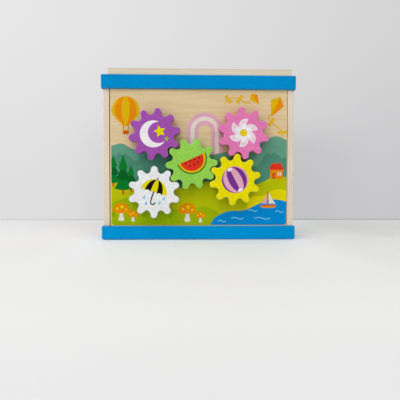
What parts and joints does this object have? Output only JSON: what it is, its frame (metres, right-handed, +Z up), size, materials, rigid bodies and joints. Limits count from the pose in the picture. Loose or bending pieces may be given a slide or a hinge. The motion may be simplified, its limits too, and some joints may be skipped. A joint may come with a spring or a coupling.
{
  "type": "wooden gear toy",
  "caption": "Wooden toy box with painted top and bottom boards and meshing toothed wheels that turn by hand on its front panel",
  "frame": {"origin": "on the supporting surface, under the middle of the bounding box", "axes": "+X to the right as seen from the front, +Y from the front to the back, +Z up; the front panel with the gears faces -Y"},
  "size_m": [0.2, 0.1292, 0.1751],
  "materials": {
    "blue_paint": "satin blue paint on wood",
    "bare_plywood": "bare sanded plywood with a clear matt seal",
    "printed_plywood": "sanded plywood with a printed scene under a satin seal",
    "pine": "planed pine, unfinished",
    "beech_dowel": "sanded beech dowel",
    "zinc_steel": "zinc-plated steel",
    "nylon": "natural nylon",
    "green_paint": "satin green paint on wood",
    "purple_paint": "satin purple paint on wood",
    "white_paint": "satin white paint on wood",
    "yellow_paint": "satin yellow paint on wood",
    "pink_paint": "satin pink paint on wood"
  },
  "bodies": {
    "box": {"bottom_board": "blue_paint", "top_board": "blue_paint", "top_plate": "bare_plywood", "left_side": "bare_plywood", "right_side": "bare_plywood", "back_panel": "bare_plywood", "front_panel": "printed_plywood", "post_front_left": "pine", "post_front_right": "pine", "post_back_left": "pine", "post_back_right": "pine", "bottom_screw_front_left": "zinc_steel", "bottom_screw_front_right": "zinc_steel", "bottom_screw_back_left": "zinc_steel", "bottom_screw_back_right": "zinc_steel", "top_screw_front_left": "zinc_steel", "top_screw_front_right": "zinc_steel", "top_screw_back_left": "zinc_steel", "top_screw_back_right": "zinc_steel", "green_spacer": "nylon", "purple_spacer": "nylon", "white_spacer": "nylon", "yellow_spacer": "nylon", "pink_spacer": "nylon"},
    "green_wheel": {"green_gear": "green_paint", "green_axle": "beech_dowel", "green_washer": "zinc_steel", "green_pivot_screw": "zinc_steel"},
    "purple_wheel": {"purple_gear": "purple_paint", "purple_axle": "beech_dowel", "purple_washer": "zinc_steel", "purple_pivot_screw": "zinc_steel"},
    "white_wheel": {"white_gear": "white_paint", "white_axle": "beech_dowel", "white_washer": "zinc_steel", "white_pivot_screw": "zinc_steel"},
    "yellow_wheel": {"yellow_gear": "yellow_paint", "yellow_axle": "beech_dowel", "yellow_washer": "zinc_steel", "yellow_pivot_screw": "zinc_steel"},
    "pink_wheel": {"pink_gear": "pink_paint", "pink_axle": "beech_dowel", "pink_washer": "zinc_steel", "pink_pivot_screw": "zinc_steel"}
  },
  "joints": [
    {"name": "green_turn", "type": "hinge", "parent": "box", "child": "green_wheel", "pos_m": [-0.0078, -0.05285, 0.0775], "axis": [0, -1, 0], "continuous": true},
    {"name": "purple_turn", "type": "hinge", "parent": "box", "child": "purple_wheel", "pos_m": [-0.04495, -0.05285, 0.10726], "axis": [0, -1, 0], "continuous": true},
    {"name": "white_turn", "type": "hinge", "parent": "box", "child": "white_wheel", "pos_m": [-0.04542, -0.05285, 0.04915], "axis": [0, -1, 0], "continuous": true},
    {"name": "yellow_turn", "type": "hinge", "parent": "box", "child": "yellow_wheel", "pos_m": [0.03607, -0.05285, 0.06179], "axis": [0, -1, 0], "continuous": true},
    {"name": "pink_turn", "type": "hinge", "parent": "box", "child": "pink_wheel", "pos_m": [0.04452, -0.05285, 0.10874], "axis": [0, -1, 0], "continuous": true}
  ],
  "couplings": [
    {"joint": "purple_turn", "follows": "green_turn", "ratio": -1},
    {"joint": "white_turn", "follows": "green_turn", "ratio": -1},
    {"joint": "yellow_turn", "follows": "green_turn", "ratio": -1},
    {"joint": "pink_turn", "follows": "green_turn", "ratio": 1}
  ]
}
